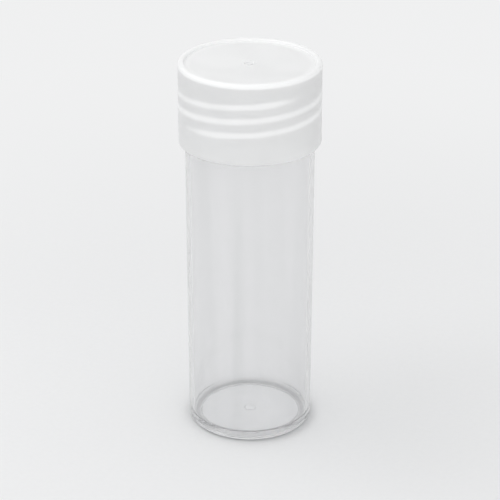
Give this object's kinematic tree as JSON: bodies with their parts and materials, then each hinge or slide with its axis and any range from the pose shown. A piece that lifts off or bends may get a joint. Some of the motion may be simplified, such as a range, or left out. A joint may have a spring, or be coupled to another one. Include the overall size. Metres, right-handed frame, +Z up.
{
  "type": "coin tube",
  "caption": "Round clear tube that holds a stack of coins, with a threaded neck and a milky screw-on cap.",
  "frame": {"origin": "middle of the standing ring, on the surface that the tube stands on", "axes": "+Z up along the tube's axis, from the foot to the cap; +X points at the lower end of one of the neck's two ridges"},
  "size_m": [0.0298, 0.0298, 0.0823],
  "materials": {
    "clear_polystyrene": "crystal clear, glossy",
    "milky_polypropylene": "milky, softly glossy"
  },
  "bodies": {
    "tube": {"tube_body": "clear_polystyrene"},
    "cap": {"screw_cap": "milky_polypropylene"}
  },
  "joints": [
    {"name": "cap_lift", "type": "slide", "parent": "tube", "child": "cap", "axis": [0, 0, 1], "range_m": [0, 0.04]}
  ]
}
